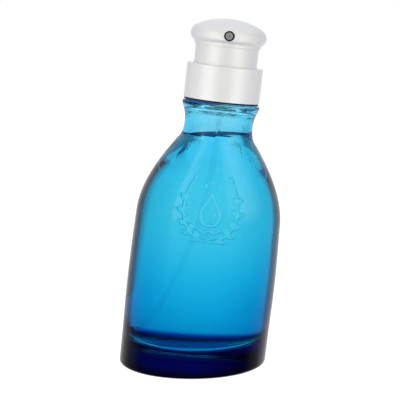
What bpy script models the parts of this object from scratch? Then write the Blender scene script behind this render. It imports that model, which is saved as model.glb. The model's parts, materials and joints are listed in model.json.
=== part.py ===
"""Leaning glass aftershave bottle with a crimped spray pump and a press button.

World frame: metres, +Z up, the flat base centred on the origin, the spray
nozzle facing -Y and the neck leaning towards +X. Every height below is a
distance up the leaning axis, measured from the centre of the base.
"""

import math

import bmesh
import bpy
from mathutils import Matrix, Vector

MM = 0.001

# Glass
LEAN = math.radians(6.3)
LEAN_FROM = 12.0 * MM
LEAN_FULL = 50.0 * MM
BASE_RADIUS = 26.5 * MM
BASE_EDGE = 1.3 * MM
WALL_TOP_RADIUS = 25.95 * MM
WALL_TOP = 54.0 * MM
SHOULDER_END_RADIUS = 14.2 * MM
SHOULDER_END = 80.7 * MM
WAIST_RADIUS = 12.2 * MM
WAIST = 87.0 * MM
LEDGE_RADIUS = 13.8 * MM
LEDGE_BOTTOM = 93.7 * MM
LEDGE_TOP = 94.7 * MM
FINISH_ROOT_RADIUS = 7.95 * MM
BEAD_RADIUS = 9.0 * MM
BEAD_BOTTOM = 97.0 * MM
GLASS_TOP = 99.8 * MM
BORE_RADIUS = 6.1 * MM
NECK_INSIDE = 10.2 * MM
INSIDE_RADIUS = 22.9 * MM
FLOOR = 6.0 * MM
DISH_RADIUS = 17.5 * MM
DISH_RISE = 2.6 * MM

# Contents
GAP = 0.3 * MM
FILL_HEIGHT = 82.6 * MM

# Pump, crimped on the mouth of the glass
BARREL_BORE = 3.4 * MM
BARREL_RADIUS = 4.4 * MM
BARREL_FLOOR = 96.5 * MM
BARREL_TOP = 106.95 * MM
TAIL_RADIUS = 1.25 * MM
TAIL_BORE = 1.0 * MM
TAIL_END = 86.8 * MM
INLET_RADIUS = 0.45 * MM
TUBE_STOP = 90.3 * MM
TUBE_RADIUS = 0.8 * MM
TUBE_BORE = 0.5 * MM
TUBE_TOP = 90.0 * MM
TUBE_END = 9.8 * MM
TUBE_REACH = 16.0 * MM
TUBE_BEND = 2.3
TUBE_HEADING = math.radians(146.0)
BALL_RADIUS = 0.9 * MM
BALL_HEIGHT = 94.64 * MM
PIN_BOTTOM = 101.85 * MM
PIN_RADIUS = 0.7 * MM
PISTON_RADIUS = 3.15 * MM
PISTON_BOTTOM = 102.65 * MM
STEM_RADIUS = 1.7 * MM
STEM_BOTTOM = 105.6 * MM
STEM_TOP = 115.9 * MM
SPRING_WIRE = 0.15 * MM

# Collar and button
COLLAR_RADIUS = 13.5 * MM
COLLAR_BOTTOM = 95.6 * MM
COLLAR_TOP = 107.8 * MM
COLLAR_MOUTH = 11.55 * MM
SLEEVE_RADIUS = 11.2 * MM
SLEEVE_BOTTOM = 106.8 * MM
SLEEVE_TOP = 116.0 * MM
CORE_BOTTOM = 112.6 * MM
RIM_RADIUS = 13.45 * MM
RIM_HEIGHT = 118.4 * MM
DOME_BOTTOM = 114.6 * MM
DOME_TOP = 124.25 * MM
DOME_CURVE = 25.3 * MM
DOME_WALL = 0.8 * MM
NOZZLE_HOLE = 1.8 * MM
POST_RADIUS = 1.9 * MM
POST_BORE = 1.55 * MM
POST_END = 11.6 * MM
INSERT_RADIUS = 1.3 * MM
INSERT_END = 12.4 * MM

ROUND = 36
SMALL_ROUND = 20


def clear_scene():
    for obj in list(bpy.data.objects):
        bpy.data.objects.remove(obj, do_unlink=True)


def principled(name, colour, roughness, metallic=0.0, transmission=0.0):
    """Material with one Principled BSDF; the colour is linear RGB."""
    mat = bpy.data.materials.new(name)
    mat.use_nodes = True
    shader = mat.node_tree.nodes["Principled BSDF"]
    shader.inputs["Base Color"].default_value = (*colour, 1.0)
    shader.inputs["Roughness"].default_value = roughness
    shader.inputs["Metallic"].default_value = metallic
    shader.inputs["Transmission Weight"].default_value = transmission
    mat.diffuse_color = (*colour, 1.0)
    return mat


def add_object(name, bm, material, height=0.0, parent=None, sharp=35.0):
    """Turn a bmesh into a smooth-shaded object whose origin is on its axis."""
    bmesh.ops.recalc_face_normals(bm, faces=bm.faces)
    mesh = bpy.data.meshes.new(name)
    bm.to_mesh(mesh)
    bm.free()
    mesh.shade_smooth()
    mesh.set_sharp_from_angle(angle=math.radians(sharp))
    if material:
        mesh.materials.append(material)
    obj = bpy.data.objects.new(name, mesh)
    bpy.context.scene.collection.objects.link(obj)
    obj.parent = parent
    obj.location = (0.0, 0.0, height)
    return obj


def bezier(p0, p1, p2, p3, count):
    """Points of a cubic curve after its first point, up to its last."""
    points = []
    for i in range(1, count + 1):
        t = i / count
        s = 1.0 - t
        weights = (s * s * s, 3 * s * s * t, 3 * s * t * t, t * t * t)
        pairs = zip(weights, (p0, p1, p2, p3))
        terms = [(w * p[0], w * p[1]) for w, p in pairs]
        points.append((sum(a for a, _ in terms), sum(b for _, b in terms)))
    return points


def arc(centre, radius, start, end, count):
    """Points of a circular arc, angles in degrees, both ends included."""
    points = []
    for i in range(count + 1):
        a = math.radians(start + (end - start) * i / count)
        x = centre[0] + radius * math.cos(a)
        points.append((x, centre[1] + radius * math.sin(a)))
    return points


def turn(profile, closed, steps=ROUND, base=0.0):
    """Spin a (radius, height) profile once round the local Z axis."""
    bm = bmesh.new()
    verts = [bm.verts.new((r, 0.0, h - base)) for r, h in profile]
    edges = [bm.edges.new(pair) for pair in zip(verts, verts[1:])]
    if closed:
        edges.append(bm.edges.new((verts[-1], verts[0])))
    bmesh.ops.spin(
        bm,
        geom=verts + edges,
        cent=(0.0, 0.0, 0.0),
        axis=(0.0, 0.0, 1.0),
        angle=2.0 * math.pi,
        steps=steps,
        use_merge=True,
    )
    bmesh.ops.remove_doubles(bm, verts=bm.verts, dist=1e-7)
    return bm


def turned(name, profile, material, parent, closed=True, steps=ROUND):
    """Turned piece with its origin on the axis at its own lowest point."""
    base = min(h for _, h in profile)
    bm = turn(profile, closed, steps, base)
    return add_object(name, bm, material, base, parent)


def sweep(path, radius, sides):
    """Rings of vertices round a path, each ring square to the path."""
    rings = []
    side = Vector((0.0, 1.0, 0.0))
    for i, point in enumerate(path):
        before = path[max(i - 1, 0)]
        after = path[min(i + 1, len(path) - 1)]
        along = (after - before).normalized()
        side = (side - along * side.dot(along)).normalized()
        up = along.cross(side)
        ring = []
        for k in range(sides):
            a = 2.0 * math.pi * k / sides
            ring.append(point + (side * math.cos(a) + up * math.sin(a)) * radius)
        rings.append(ring)
    return rings


def skin(bm, rings):
    """Join rings of points with quads and return the vertex rings."""
    loops = [[bm.verts.new(p) for p in ring] for ring in rings]
    for low, high in zip(loops, loops[1:]):
        for k in range(len(low)):
            n = (k + 1) % len(low)
            bm.faces.new((low[k], low[n], high[n], high[k]))
    return loops


def coil(name, mean, bottom, top, turns, material, parent):
    """Compression spring: open turns between one closed turn at each end."""
    wire = SPRING_WIRE
    steps = 16
    closed_pitch = 2.2 * wire
    span = top - bottom - 2.0 * wire
    open_pitch = (span - 2.0 * closed_pitch) / (turns - 2.0)
    path = []
    for i in range(int(turns * steps) + 1):
        now = i / steps
        opened = min(max(now - 1.0, 0.0), turns - 2.0)
        height = wire + opened * open_pitch + (now - opened) * closed_pitch
        a = 2.0 * math.pi * now
        path.append(Vector((mean * math.cos(a), mean * math.sin(a), height)))
    bm = bmesh.new()
    loops = skin(bm, sweep(path, wire, 6))
    bm.faces.new(reversed(loops[0]))
    bm.faces.new(loops[-1])
    return add_object(name, bm, material, bottom, parent, sharp=75.0)


def lean_at(height):
    """Tilt of a glass section: level at the base, square to the axis above."""
    t = (height - LEAN_FROM) / (LEAN_FULL - LEAN_FROM)
    t = min(max(t, 0.0), 1.0)
    return LEAN * t * t * (3.0 - 2.0 * t)


def lean_point(x, y, height):
    """Move a point of an upright turned shape onto the leaning bottle."""
    centre = Vector((math.sin(LEAN), 0.0, math.cos(LEAN))) * height
    tilt = lean_at(height)
    return centre + Vector((x * math.cos(tilt), y, -x * math.sin(tilt)))


def lean_mesh(bm):
    for vert in bm.verts:
        vert.co = lean_point(*vert.co)


def glass_outside():
    """Outer profile of the bottle from the centre of the base to the mouth."""
    edge = arc((BASE_RADIUS - BASE_EDGE, BASE_EDGE), BASE_EDGE, -90, 0, 3)
    wall = bezier(
        edge[-1],
        (26.58 * MM, 24.2 * MM),
        (27.13 * MM, 24.0 * MM),
        (WALL_TOP_RADIUS, WALL_TOP),
        6,
    )
    shoulder = bezier(
        wall[-1],
        (25.53 * MM, 61.6 * MM),
        (21.97 * MM, 69.9 * MM),
        (SHOULDER_END_RADIUS, SHOULDER_END),
        7,
    )
    neck = bezier(
        shoulder[-1],
        (13.53 * MM, 81.6 * MM),
        (WAIST_RADIUS, 82.6 * MM),
        (WAIST_RADIUS, WAIST),
        4,
    )
    flare = bezier(
        neck[-1],
        (WAIST_RADIUS, 90.0 * MM),
        (12.6 * MM, 90.3 * MM),
        (LEDGE_RADIUS, LEDGE_BOTTOM),
        3,
    )
    finish = [
        (LEDGE_RADIUS, LEDGE_TOP - 0.3 * MM),
        (LEDGE_RADIUS - 0.3 * MM, LEDGE_TOP),
        (FINISH_ROOT_RADIUS + 0.5 * MM, LEDGE_TOP),
        (FINISH_ROOT_RADIUS, LEDGE_TOP + 0.5 * MM),
        (FINISH_ROOT_RADIUS, BEAD_BOTTOM - 0.4 * MM),
        (BEAD_RADIUS, BEAD_BOTTOM + 0.6 * MM),
        (BEAD_RADIUS, GLASS_TOP - 0.6 * MM),
        (BEAD_RADIUS - 0.6 * MM, GLASS_TOP),
    ]
    return [(0.0, 0.0)] + edge + wall + shoulder + neck + flare + finish


def glass_inside(inset=0.0):
    """Inner profile from the mouth down to the centre of the floor."""
    lip = [
        (BORE_RADIUS + 0.5 * MM, GLASS_TOP),
        (BORE_RADIUS, GLASS_TOP - 0.5 * MM),
        (BORE_RADIUS, 94.4 * MM),
    ]
    throat = bezier(
        lip[-1],
        (BORE_RADIUS, 93.1 * MM),
        (NECK_INSIDE - 0.3 * MM, 94.0 * MM),
        (NECK_INSIDE, 91.8 * MM),
        4,
    )
    neck = bezier(
        throat[-1],
        (NECK_INSIDE, 86.0 * MM),
        (10.3 * MM, 83.6 * MM),
        (12.0 * MM, 80.9 * MM),
        4,
    )
    shoulder = bezier(
        neck[-1],
        (18.6 * MM, 71.0 * MM),
        (22.2 * MM, 61.0 * MM),
        (22.6 * MM, 53.0 * MM),
        5,
    )
    wall = bezier(
        shoulder[-1],
        (INSIDE_RADIUS, 38.0 * MM),
        (INSIDE_RADIUS, 26.0 * MM),
        (INSIDE_RADIUS, 13.5 * MM),
        4,
    )
    corner = bezier(
        wall[-1],
        (INSIDE_RADIUS, 10.8 * MM),
        (20.7 * MM, 9.55 * MM),
        (DISH_RADIUS, FLOOR + DISH_RISE),
        4,
    )
    dish = []
    for i in range(1, 4):
        share = 1.0 - i / 3
        dish.append((DISH_RADIUS * share, FLOOR + DISH_RISE * share * share))
    side = [(r - inset, h) for r, h in lip + throat + neck + shoulder + wall]
    bottom = [(max(r - inset, 0.0), h + inset) for r, h in corner + dish]
    return side + bottom


def tube_path(height):
    """Centre line of the dip tube, which hangs straight and bends near its end.

    Its free end stops over the floor, behind the side away from the lean.
    """
    drop = max(TAIL_END - height, 0.0)
    reach = TUBE_REACH * (drop / (TAIL_END - TUBE_END)) ** TUBE_BEND
    x = reach * math.cos(TUBE_HEADING)
    y = reach * math.sin(TUBE_HEADING)
    return lean_point(x, y, height)


def tube_line(bottom, count=14):
    rise = TUBE_TOP - bottom
    return [tube_path(bottom + rise * i / count) for i in range(count + 1)]


def build_glass(material):
    bm = turn(glass_outside() + glass_inside(), closed=False)
    lean_mesh(bm)
    return add_object("glass_bottle", bm, material)


def hide_cutter(cutter):
    cutter.hide_render = True
    cutter.display_type = "WIRE"
    cutter.hide_set(True)


def combine(target, other, operation):
    """Exact Boolean of a guide object into a piece."""
    boolean = target.modifiers.new(other.name, "BOOLEAN")
    boolean.operation = operation
    boolean.solver = "EXACT"
    boolean.object = other
    hide_cutter(other)


def build_liquid(material):
    """Contents: the inside of the glass less a gap, cut off level at the top."""
    inner = [(r, h) for r, h in glass_inside(GAP) if h < 89.0 * MM]
    bm = turn([(0.0, inner[0][1])] + inner, closed=False)
    lean_mesh(bm)
    cut = bmesh.ops.bisect_plane(
        bm,
        geom=bm.verts[:] + bm.edges[:] + bm.faces[:],
        plane_co=(0.0, 0.0, FILL_HEIGHT),
        plane_no=(0.0, 0.0, 1.0),
        clear_outer=True,
    )
    rim = [e for e in cut["geom_cut"] if isinstance(e, bmesh.types.BMEdge)]
    bmesh.ops.contextual_create(bm, geom=rim)
    liquid = add_object("aftershave_liquid", bm, material)

    channel = bmesh.new()
    line = tube_line(TUBE_END - 0.5 * MM)
    loops = skin(channel, sweep(line, TUBE_RADIUS + GAP, 10))
    channel.faces.new(reversed(loops[0]))
    channel.faces.new(loops[-1])
    combine(liquid, add_object("tube_channel", channel, material), "DIFFERENCE")
    return liquid


def build_dip_tube(material):
    """Thin tube with a slanting cut at its free end."""
    line = tube_line(TUBE_END)
    outer = sweep(line, TUBE_RADIUS, 10)
    inner = sweep(line, TUBE_BORE, 10)
    for point in outer[0] + inner[0]:
        point.z += 0.35 * MM + 0.45 * (point.x - line[0].x)
    bm = bmesh.new()
    out_loops = skin(bm, outer)
    in_loops = skin(bm, inner)
    for end in (0, -1):
        a = out_loops[end]
        b = in_loops[end]
        for k in range(len(a)):
            n = (k + 1) % len(a)
            bm.faces.new((a[k], a[n], b[n], b[k]))
    return add_object("dip_tube", bm, material)


def build_housing(material, axis):
    """Pump barrel with its flange, ball seat and the tail that holds the tube."""
    profile = [
        (TAIL_BORE, TAIL_END),
        (TAIL_RADIUS, TAIL_END),
        (TAIL_RADIUS, 93.2 * MM),
        (1.7 * MM, 93.7 * MM),
        (1.7 * MM, 95.6 * MM),
        (2.0 * MM, 95.8 * MM),
        (BARREL_RADIUS - 0.5 * MM, 95.8 * MM),
        (BARREL_RADIUS, 96.3 * MM),
        (BARREL_RADIUS, 101.1 * MM),
        (8.4 * MM, 101.1 * MM),
        (8.4 * MM, 101.7 * MM),
        (BARREL_RADIUS, 101.7 * MM),
        (BARREL_RADIUS, BARREL_TOP - 0.3 * MM),
        (BARREL_RADIUS - 0.3 * MM, BARREL_TOP),
        (BARREL_BORE, BARREL_TOP),
        (BARREL_BORE, BARREL_FLOOR),
        (0.75 * MM, BARREL_FLOOR),
        (0.75 * MM, BARREL_FLOOR - 0.3 * MM),
        (1.2 * MM, BARREL_FLOOR - 0.3 * MM),
        (1.2 * MM, 94.4 * MM),
        (INLET_RADIUS, 93.65 * MM),
        (INLET_RADIUS, TUBE_STOP),
        (TAIL_BORE, TUBE_STOP),
    ]
    return turned("pump_housing", profile, material, axis, steps=SMALL_ROUND)


def build_ball(material, axis):
    bm = bmesh.new()
    bmesh.ops.create_uvsphere(bm, u_segments=14, v_segments=8, radius=BALL_RADIUS)
    return add_object("inlet_ball", bm, material, BALL_HEIGHT, axis)


def build_pin(material, axis):
    """Valve pin: spring seat, sealing cone and the rod that enters the stem."""
    cone = PIN_BOTTOM + 0.6 * MM
    profile = [
        (0.0, PIN_BOTTOM),
        (2.6 * MM, PIN_BOTTOM),
        (2.6 * MM, cone),
        (2.0 * MM, cone),
        (PIN_RADIUS, cone + 2.0 * MM - PIN_RADIUS),
        (PIN_RADIUS, PIN_BOTTOM + 5.0 * MM),
        (PIN_RADIUS - 0.25 * MM, PIN_BOTTOM + 5.3 * MM),
        (0.0, PIN_BOTTOM + 5.3 * MM),
    ]
    return turned("valve_pin", profile, material, axis, False, SMALL_ROUND)


def build_piston(material, axis):
    """Metering piston: a thin sealing lip, a web and a hub over the cone."""
    low = PISTON_BOTTOM
    profile = [
        (2.75 * MM, low + 0.2 * MM),
        (PISTON_RADIUS, low),
        (PISTON_RADIUS, low + 2.3 * MM),
        (2.75 * MM, low + 2.1 * MM),
        (2.75 * MM, low + 1.05 * MM),
        (1.6 * MM, low + 1.05 * MM),
        (1.6 * MM, low + 1.9 * MM),
        (1.05 * MM, low + 1.9 * MM),
        (1.05 * MM, low + 1.1 * MM),
        (1.6 * MM, low + 0.55 * MM),
        (2.75 * MM, low + 0.55 * MM),
    ]
    return turned("metering_piston", profile, material, axis, steps=SMALL_ROUND)


def build_stem(material, axis):
    """Hollow stem: a flange under the seal and a narrow bore up to the button."""
    flange = STEM_BOTTOM + 0.55 * MM
    profile = [
        (1.0 * MM, STEM_BOTTOM),
        (2.8 * MM, STEM_BOTTOM),
        (2.8 * MM, flange),
        (STEM_RADIUS, flange),
        (STEM_RADIUS, STEM_TOP - 0.3 * MM),
        (STEM_RADIUS - 0.3 * MM, STEM_TOP),
        (0.6 * MM, STEM_TOP),
        (0.6 * MM, STEM_BOTTOM + 2.45 * MM),
        (1.0 * MM, STEM_BOTTOM + 2.05 * MM),
    ]
    return turned("pump_stem", profile, material, axis, steps=SMALL_ROUND)


def flat_ring(name, inner, outer, bottom, top, material, axis):
    profile = [(inner, bottom), (outer, bottom), (outer, top), (inner, top)]
    return turned(name, profile, material, axis, steps=SMALL_ROUND)


def build_turret_cap(material, axis):
    """Plastic cap that closes the barrel and guides the stem."""
    profile = [
        (4.7 * MM, 102.0 * MM),
        (5.55 * MM, 102.0 * MM),
        (5.55 * MM, 107.85 * MM),
        (5.25 * MM, 108.15 * MM),
        (2.0 * MM, 108.15 * MM),
        (2.0 * MM, 107.3 * MM),
        (4.7 * MM, 107.3 * MM),
    ]
    return turned("turret_cap", profile, material, axis, steps=SMALL_ROUND)


def build_ferrule(material, axis):
    """Thin metal cup, raised over the turret and crimped in under the bead."""
    profile = [
        (8.5 * MM, 96.75 * MM),
        (8.75 * MM, 96.45 * MM),
        (9.65 * MM, 97.5 * MM),
        (9.7 * MM, 97.8 * MM),
        (9.7 * MM, 102.05 * MM),
        (9.4 * MM, 102.35 * MM),
        (6.4 * MM, 102.35 * MM),
        (6.2 * MM, 102.55 * MM),
        (6.2 * MM, 108.5 * MM),
        (5.9 * MM, 108.8 * MM),
        (2.3 * MM, 108.8 * MM),
        (2.3 * MM, 108.45 * MM),
        (5.85 * MM, 108.45 * MM),
        (5.85 * MM, 102.0 * MM),
        (9.35 * MM, 102.0 * MM),
        (9.35 * MM, 97.8 * MM),
    ]
    return turned("crimp_ferrule", profile, material, axis, steps=24)


def build_collar_liner(material, axis):
    """Plastic ring that holds the collar; its foot stands on the glass ledge."""
    foot = LEDGE_TOP + GAP
    profile = [
        (9.1 * MM, foot),
        (COLLAR_RADIUS - 0.2 * MM, foot),
        (COLLAR_RADIUS - 0.2 * MM, COLLAR_BOTTOM - GAP),
        (12.65 * MM, COLLAR_BOTTOM - GAP),
        (12.65 * MM, 106.8 * MM),
        (11.75 * MM, 106.8 * MM),
        (11.75 * MM, 97.0 * MM),
        (10.8 * MM, 97.0 * MM),
        (10.8 * MM, 101.6 * MM),
        (10.0 * MM, 101.6 * MM),
        (10.0 * MM, 96.7 * MM),
        (9.1 * MM, 96.1 * MM),
    ]
    return turned("collar_liner", profile, material, axis, steps=ROUND)


def build_collar(material, axis):
    """Metal collar sleeve with an inward lip that frames the button."""
    inner = COLLAR_RADIUS - 0.55 * MM
    profile = [
        (inner, COLLAR_BOTTOM),
        (COLLAR_RADIUS - 0.15 * MM, COLLAR_BOTTOM),
        (COLLAR_RADIUS, COLLAR_BOTTOM + 0.15 * MM),
        (COLLAR_RADIUS, COLLAR_TOP - 0.3 * MM),
        (COLLAR_RADIUS - 0.3 * MM, COLLAR_TOP),
        (COLLAR_MOUTH + 0.1 * MM, COLLAR_TOP),
        (COLLAR_MOUTH, COLLAR_TOP - 0.1 * MM),
        (COLLAR_MOUTH, COLLAR_TOP - 0.6 * MM),
        (inner, COLLAR_TOP - 0.6 * MM),
    ]
    return turned("collar_sleeve", profile, material, axis)


def build_button_sleeve(material, axis):
    inner = SLEEVE_RADIUS - 0.7 * MM
    profile = [
        (inner, SLEEVE_BOTTOM),
        (SLEEVE_RADIUS - 0.2 * MM, SLEEVE_BOTTOM),
        (SLEEVE_RADIUS, SLEEVE_BOTTOM + 0.2 * MM),
        (SLEEVE_RADIUS, SLEEVE_TOP),
        (inner, SLEEVE_TOP),
    ]
    return turned("button_sleeve", profile, material, axis)


def dome_cap(edge, curve, count):
    """Points of the domed top from a radius near its rim to the axis."""
    centre = DOME_TOP - DOME_CURVE
    start = math.asin(edge / curve)
    points = []
    for i in range(1, count + 1):
        a = start * (1.0 - i / count)
        points.append((curve * math.sin(a), centre + curve * math.cos(a)))
    return points


def build_dome(material, axis):
    """Button top: a shallow dome with a rolled rim and a short lower collar."""
    edge = 11.2 * MM
    cap_edge = DOME_TOP - DOME_CURVE + math.sqrt(DOME_CURVE**2 - edge**2)
    fillet_start = (11.7 * MM, 115.0 * MM)
    rim = (RIM_RADIUS, RIM_HEIGHT)
    under = bezier(
        fillet_start, (11.7 * MM, 116.2 * MM), (RIM_RADIUS, 116.3 * MM), rim, 5
    )
    over = bezier(
        rim,
        (RIM_RADIUS, RIM_HEIGHT + 1.2 * MM),
        (12.63 * MM, 120.93 * MM),
        (edge, cap_edge),
        4,
    )
    outside = [(11.5 * MM, DOME_BOTTOM), (11.7 * MM, DOME_BOTTOM), fillet_start]
    outside += under + over + dome_cap(edge, DOME_CURVE, 4)

    inner_curve = DOME_CURVE - DOME_WALL
    inner_cap = dome_cap(10.9 * MM, inner_curve, 3)[::-1]
    inside = inner_cap + [
        (12.2 * MM, 120.3 * MM),
        (RIM_RADIUS - DOME_WALL, 119.2 * MM),
        (RIM_RADIUS - DOME_WALL, 118.0 * MM),
        (12.2 * MM, 117.2 * MM),
        (11.5 * MM, 116.5 * MM),
    ]
    bm = turn(outside + inside + [outside[0]], False, ROUND, DOME_BOTTOM)
    dome = add_object("button_dome", bm, material, DOME_BOTTOM, axis)
    window = facing_rod("nozzle_window", NOZZLE_HOLE, 10.0 * MM, 15.0 * MM, axis)
    combine(dome, window, "DIFFERENCE")
    seat = facing_rod("nozzle_seat", POST_RADIUS + 0.25 * MM, 9.0 * MM, 11.95 * MM, axis)
    combine(dome, seat, "DIFFERENCE")
    return dome


def facing_rod(name, radius, near, far, axis, height=RIM_HEIGHT, sides=24):
    """Guide cylinder along -Y between two distances from the axis."""
    bm = bmesh.new()
    bmesh.ops.create_cone(
        bm,
        cap_ends=True,
        segments=sides,
        radius1=radius,
        radius2=radius,
        depth=far - near,
        matrix=Matrix.Translation((0.0, 0.0, 0.5 * (near + far))),
    )
    rod = add_object(name, bm, None, height, axis)
    rod.rotation_euler = (0.5 * math.pi, 0.0, 0.0)
    return rod


def build_actuator(material, axis):
    """Button core: stem socket, locating skirt, web and the nozzle post."""
    web = 116.4 * MM
    profile = [
        (2.0 * MM, CORE_BOTTOM),
        (3.3 * MM, CORE_BOTTOM),
        (3.3 * MM, web),
        (9.4 * MM, web),
        (9.4 * MM, 113.0 * MM),
        (10.2 * MM, 113.0 * MM),
        (10.2 * MM, web),
        (11.1 * MM, web),
        (11.1 * MM, web + 0.8 * MM),
        (3.3 * MM, web + 0.8 * MM),
        (3.3 * MM, 122.4 * MM),
        (3.0 * MM, 122.7 * MM),
        (0.0, 122.7 * MM),
        (0.0, 120.0 * MM),
        (0.9 * MM, 120.0 * MM),
        (0.9 * MM, 116.3 * MM),
        (2.0 * MM, 116.3 * MM),
        (2.0 * MM, CORE_BOTTOM),
    ]
    bm = turn(profile, False, SMALL_ROUND, CORE_BOTTOM)
    core = add_object("actuator_core", bm, material, CORE_BOTTOM, axis)
    back = 9.0 * MM
    post = facing_rod("nozzle_post", POST_RADIUS, 2.5 * MM, POST_END, axis)
    combine(core, post, "UNION")
    bore = facing_rod("post_bore", POST_BORE, back, POST_END + MM, axis)
    combine(core, bore, "DIFFERENCE")
    pin = facing_rod("swirl_pin", 0.7 * MM, back - 0.5 * MM, 11.2 * MM, axis, sides=16)
    combine(core, pin, "UNION")
    feed_height = RIM_HEIGHT + 0.5 * (POST_BORE + 0.7 * MM)
    feed = facing_rod("feed_channel", 0.3 * MM, 0.3 * MM, 9.3 * MM, axis, feed_height, 12)
    combine(core, feed, "DIFFERENCE")
    return core


def build_insert(material, axis):
    """Nozzle insert: a small cup whose face holds the spray orifice."""
    orifice = 0.15 * MM
    back = 9.3 * MM
    wall = 11.5 * MM
    profile = [
        (1.0 * MM, back),
        (INSERT_RADIUS, back),
        (INSERT_RADIUS, INSERT_END - 0.1 * MM),
        (INSERT_RADIUS - 0.1 * MM, INSERT_END),
        (0.55 * MM, INSERT_END),
        (orifice, INSERT_END - 0.45 * MM),
        (orifice, wall),
        (1.0 * MM, wall),
    ]
    bm = turn(profile, closed=True, steps=SMALL_ROUND)
    insert = add_object("nozzle_insert", bm, material, RIM_HEIGHT, axis)
    insert.rotation_euler = (0.5 * math.pi, 0.0, 0.0)
    return insert


def main():
    clear_scene()
    axis = bpy.data.objects.new("leaning_axis", None)
    axis.rotation_euler = (0.0, LEAN, 0.0)
    axis.empty_display_size = 20.0 * MM
    bpy.context.scene.collection.objects.link(axis)

    silver = (0.80, 0.80, 0.81)
    steel = (0.55, 0.55, 0.56)
    polymer = (0.82, 0.82, 0.80)

    build_glass(principled("blue_glass", (0.03, 0.42, 0.72), 0.03, 0.0, 1.0))
    build_liquid(principled("liquid", (0.20, 0.62, 0.80), 0.02, 0.0, 1.0))
    build_dip_tube(principled("clear_tube", (0.75, 0.82, 0.85), 0.25, 0.0, 0.6))
    build_housing(principled("housing_polymer", polymer, 0.45), axis)
    build_ball(principled("ball_steel", steel, 0.15, 1.0), axis)
    coil(
        "return_spring",
        2.3 * MM,
        BARREL_FLOOR + 0.3 * MM,
        PIN_BOTTOM - 0.3 * MM,
        3.5,
        principled("spring_steel", steel, 0.3, 1.0),
        axis,
    )
    build_pin(principled("pin_polymer", (0.75, 0.76, 0.78), 0.4), axis)
    build_piston(principled("piston_polymer", (0.86, 0.86, 0.84), 0.5), axis)
    coil(
        "preload_spring",
        2.15 * MM,
        PISTON_BOTTOM + 1.3 * MM,
        STEM_BOTTOM - 0.2 * MM,
        2.5,
        principled("preload_steel", steel, 0.3, 1.0),
        axis,
    )
    build_stem(principled("stem_polymer", (0.84, 0.84, 0.82), 0.35), axis)
    flat_ring(
        "stem_seal",
        STEM_RADIUS + 0.25 * MM,
        BARREL_BORE - 0.25 * MM,
        STEM_BOTTOM + 0.85 * MM,
        STEM_BOTTOM + 1.4 * MM,
        principled("seal_rubber", (0.05, 0.05, 0.05), 0.7),
        axis,
    )
    build_turret_cap(principled("turret_polymer", polymer, 0.45), axis)
    flat_ring(
        "neck_gasket",
        4.7 * MM,
        8.7 * MM,
        GLASS_TOP + GAP,
        GLASS_TOP + 1.0 * MM,
        principled("gasket_rubber", (0.04, 0.04, 0.045), 0.75),
        axis,
    )
    build_ferrule(principled("ferrule_aluminium", silver, 0.3, 1.0), axis)
    build_collar_liner(principled("liner_polymer", (0.02, 0.02, 0.03), 0.5), axis)
    build_collar(principled("collar_silver", silver, 0.35, 0.9), axis)
    build_actuator(principled("core_polymer", (0.30, 0.30, 0.31), 0.5), axis)
    build_button_sleeve(principled("sleeve_silver", silver, 0.35, 0.9), axis)
    build_dome(principled("dome_silver", silver, 0.38, 0.9), axis)
    build_insert(principled("insert_polymer", (0.35, 0.35, 0.36), 0.45), axis)


main()
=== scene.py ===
"""Looks of the leaning aftershave bottle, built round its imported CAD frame.

Heights are distances up the leaning axis from the centre of the base.
"""

import json
import math

import bmesh
import bpy
import numpy as np
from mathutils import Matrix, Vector


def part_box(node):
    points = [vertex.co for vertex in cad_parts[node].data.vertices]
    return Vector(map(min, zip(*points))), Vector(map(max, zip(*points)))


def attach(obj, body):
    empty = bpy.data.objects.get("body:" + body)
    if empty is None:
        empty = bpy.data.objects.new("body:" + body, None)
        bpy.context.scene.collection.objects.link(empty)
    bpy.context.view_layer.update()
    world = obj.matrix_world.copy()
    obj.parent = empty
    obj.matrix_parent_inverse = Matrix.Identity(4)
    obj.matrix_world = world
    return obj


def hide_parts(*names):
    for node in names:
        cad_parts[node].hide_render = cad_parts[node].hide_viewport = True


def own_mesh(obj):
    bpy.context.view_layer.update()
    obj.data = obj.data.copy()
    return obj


MM = 0.001

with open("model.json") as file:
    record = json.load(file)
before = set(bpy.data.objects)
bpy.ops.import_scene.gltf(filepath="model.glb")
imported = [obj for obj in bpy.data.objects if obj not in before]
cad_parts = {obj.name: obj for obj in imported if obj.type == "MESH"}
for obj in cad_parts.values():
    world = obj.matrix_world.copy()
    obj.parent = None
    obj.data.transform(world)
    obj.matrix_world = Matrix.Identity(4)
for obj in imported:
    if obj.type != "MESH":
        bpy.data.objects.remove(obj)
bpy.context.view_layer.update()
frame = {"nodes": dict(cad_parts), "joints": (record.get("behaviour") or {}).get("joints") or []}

AXIS = Vector(
    next(j["axis"] for j in frame["joints"] if j["name"] == "button_press")
).normalized()
LEAN = math.asin(AXIS.x)
LEAN_FROM = 12.0 * MM
LEAN_FULL = 50.0 * MM
ACROSS = Vector((math.cos(LEAN), 0.0, -math.sin(LEAN)))


# ---------------------------------------- geometry


def span(node):
    """(bottom, top, smallest radius, largest radius) of a turned CAD node."""
    heights = []
    radii = []
    for vert in frame["nodes"][node].data.vertices:
        height = vert.co.dot(AXIS)
        heights.append(height)
        radii.append((vert.co - AXIS * height).length)
    return min(heights), max(heights), min(radii), max(radii)


def lean_at(height):
    """Tilt of a glass section: level at the base, square to the axis above."""
    t = (height - LEAN_FROM) / (LEAN_FULL - LEAN_FROM)
    t = min(max(t, 0.0), 1.0)
    return LEAN * t * t * (3.0 - 2.0 * t)


def lean_point(x, y, height):
    """Place a point of an upright turned shape on the leaning bottle."""
    tilt = lean_at(height)
    return AXIS * height + Vector((x * math.cos(tilt), y, -x * math.sin(tilt)))


def axis_point(x, y, height):
    """Place a point of a piece that is square to the leaning axis throughout."""
    return AXIS * height + Vector((x * math.cos(LEAN), y, -x * math.sin(LEAN)))


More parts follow.
